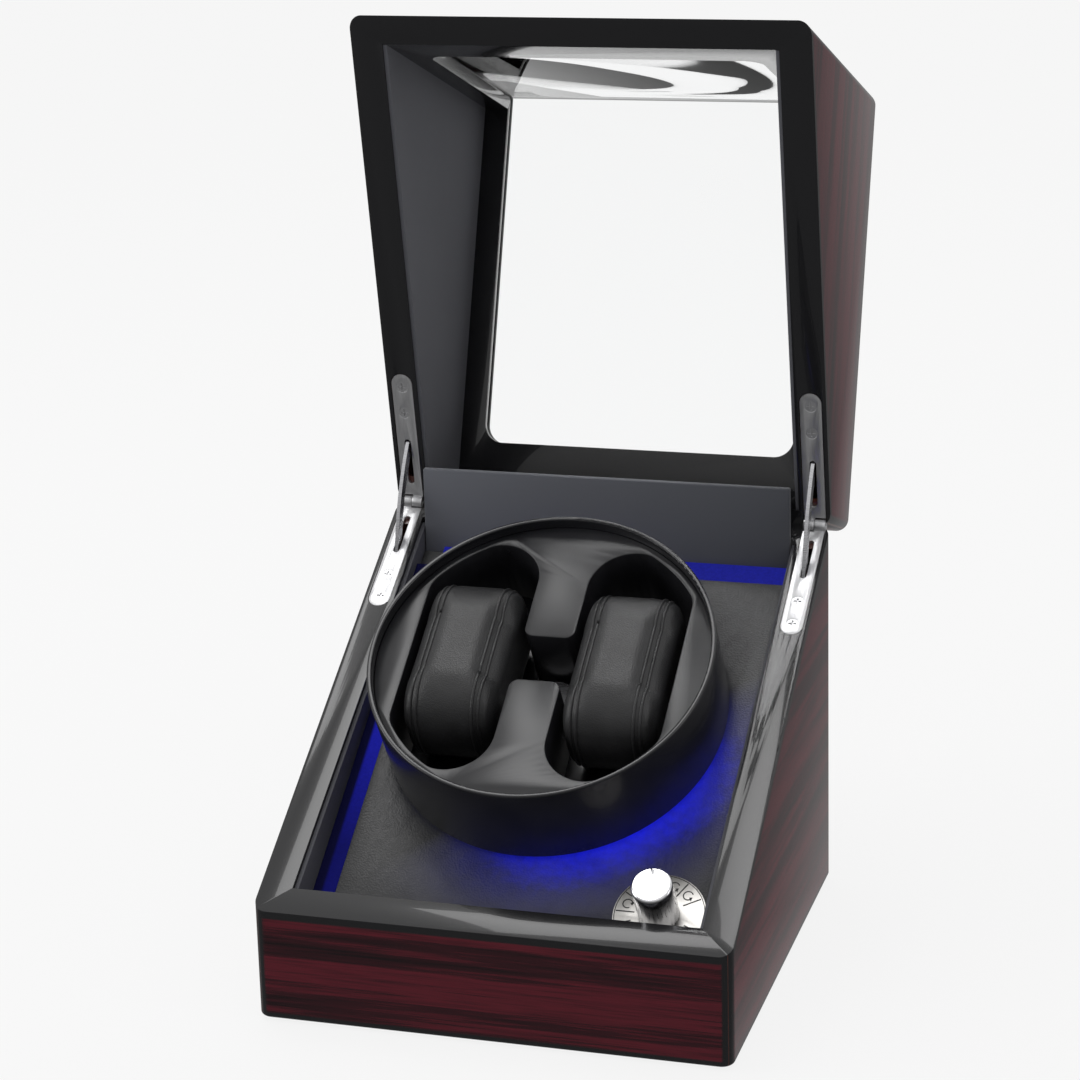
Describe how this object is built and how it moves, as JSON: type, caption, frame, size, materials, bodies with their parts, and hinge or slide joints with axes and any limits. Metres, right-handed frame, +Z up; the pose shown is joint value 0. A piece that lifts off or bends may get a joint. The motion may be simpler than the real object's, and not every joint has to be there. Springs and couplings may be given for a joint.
{
  "type": "watch winder box",
  "caption": "Slant-rimmed lacquered box with a glazed hinged lid and a tilted rotor holding two cushions that turns to wind watches.",
  "frame": {"origin": "centre of the felt sheet's lower face, on the table", "axes": "+X to the right seen from the front, +Y to the back, +Z up; the front faces -Y"},
  "size_m": [0.18, 0.2798, 0.3526],
  "materials": {
    "lacquered_wood": "gloss",
    "felt": "matte",
    "lining": "matte",
    "lip_lining": "matte",
    "raw_board": "matte",
    "black_leather": "satin",
    "blue_light": "satin",
    "gloss_black_plastic": "gloss",
    "chrome": "polished",
    "steel": "satin",
    "brass": "satin",
    "black_plastic": "matte",
    "white_plastic": "matte",
    "green_board": "satin",
    "dial_metal": "satin",
    "clear_acrylic": "gloss"
  },
  "bodies": {
    "base": {"base_front_panel": "lacquered_wood", "base_back_panel": "lacquered_wood", "base_left_panel": "lacquered_wood", "base_right_panel": "lacquered_wood", "base_felt": "felt", "base_floor": "raw_board", "base_lining": "lining", "lip_board": "lip_lining", "deck_board": "raw_board", "deck_cover": "black_leather", "deck_battens": "black_plastic", "light_ring": "blue_light", "light_bar_left": "blue_light", "light_bar_back": "blue_light", "shaft_bush": "brass", "motor": "steel", "motor_bracket": "steel", "bracket_posts": "steel", "bracket_screws": "steel", "motor_screws": "steel", "dial_plate": "dial_metal", "selector_switch": "black_plastic", "selector_nut": "steel", "power_jack": "black_plastic", "jack_nut": "steel", "controller_board": "green_board", "board_spacers": "white_plastic", "board_screws": "steel", "board_parts": "black_plastic", "base_hinge_leaves": "chrome", "base_hinge_screws": "chrome", "hinge_pins": "steel"},
    "lid": {"lid_front_panel": "lacquered_wood", "lid_top_panel": "lacquered_wood", "lid_left_panel": "lacquered_wood", "lid_right_panel": "lacquered_wood", "lid_back_panel": "lacquered_wood", "lid_lining": "lining", "lid_pane": "clear_acrylic", "lid_hinge_leaves": "chrome", "lid_hinge_screws": "chrome"},
    "stay_left_body": {"stay_left": "chrome"},
    "stay_right_body": {"stay_right": "chrome"},
    "rotor": {"rotor_shell": "gloss_black_plastic", "rotor_face": "gloss_black_plastic", "rotor_hub": "steel", "hub_screw": "steel", "rotor_shaft": "steel", "thrust_washer": "white_plastic", "rotor_gear": "white_plastic", "cushion_left": "black_leather", "cushion_right": "black_leather"},
    "pinion_body": {"pinion": "brass", "motor_shaft": "steel"},
    "knob_body": {"mode_knob": "chrome", "selector_shaft": "steel"}
  },
  "joints": [
    {"name": "lid_hinge", "type": "hinge", "parent": "base", "child": "lid", "pos_m": [0, 0.09, 0.148], "axis": [1, 0, 0], "range_deg": [0, 110]},
    {"name": "stay_left_swing", "type": "hinge", "parent": "base", "child": "stay_left_body", "pos_m": [-0.08375, 0.09, 0.148], "axis": [1, 0, 0], "range_deg": [0, 38.5]},
    {"name": "stay_right_swing", "type": "hinge", "parent": "base", "child": "stay_right_body", "pos_m": [0.08375, 0.09, 0.148], "axis": [1, 0, 0], "range_deg": [0, 38.5]},
    {"name": "rotor_spin", "type": "hinge", "parent": "base", "child": "rotor", "pos_m": [0, 0.0086, 0.0908], "axis": [0, -0.5446, 0.8387], "continuous": true},
    {"name": "pinion_spin", "type": "hinge", "parent": "base", "child": "pinion_body", "pos_m": [0.024, 0.01568, 0.0799], "axis": [0, -0.5446, 0.8387], "continuous": true},
    {"name": "knob_turn", "type": "hinge", "parent": "base", "child": "knob_body", "pos_m": [0.0572, -0.0678, 0.05311], "axis": [0, -0.5446, 0.8387], "range_deg": [-60, 60]}
  ],
  "couplings": [
    {"joint": "stay_left_swing", "follows": "lid_hinge", "ratio": 0.35},
    {"joint": "stay_right_swing", "follows": "lid_hinge", "ratio": 0.35},
    {"joint": "pinion_spin", "follows": "rotor_spin", "ratio": -4}
  ]
}
